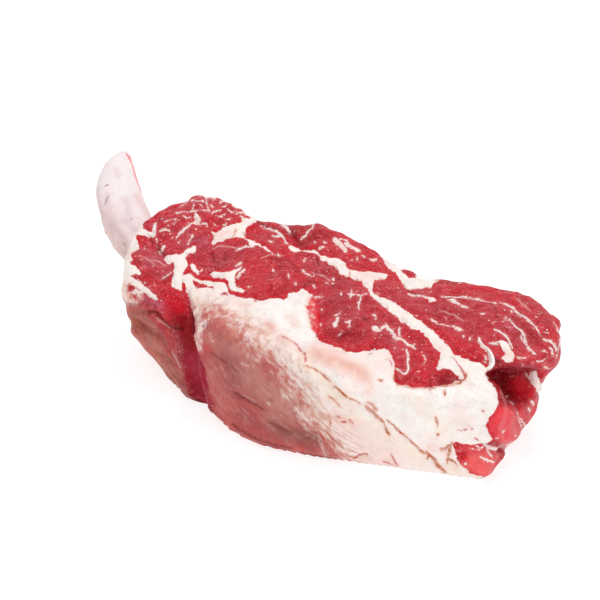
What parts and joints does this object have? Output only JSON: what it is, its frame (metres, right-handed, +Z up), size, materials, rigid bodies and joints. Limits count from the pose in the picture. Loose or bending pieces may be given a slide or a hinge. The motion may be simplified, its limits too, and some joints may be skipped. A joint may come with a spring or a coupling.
{
  "type": "raw tomahawk steak",
  "caption": "Thick raw beef steak with marbled cut face, white fat edge, pale membrane side, a deep cleft in one end and a curved rib bone standing out of the other.",
  "frame": {"origin": "under the middle of the whole steak with its bone, on the surface it lies on", "axes": "+X along the steak from the bone end to the cleft end, +Y from the fat side to the far side, +Z up out of the cut face"},
  "size_m": [0.2772, 0.1164, 0.0651],
  "materials": {
    "meat": "moist raw beef, deep pinkish red with white marbling and fat",
    "fat": "moist white fat with a faint pink cast",
    "rib_bone": "clean raw bone, pale pinkish white with mauve patches and a red line along one edge"
  },
  "bodies": {
    "root": {"meat": "meat", "rib_bone": "rib_bone"}
  },
  "joints": []
}
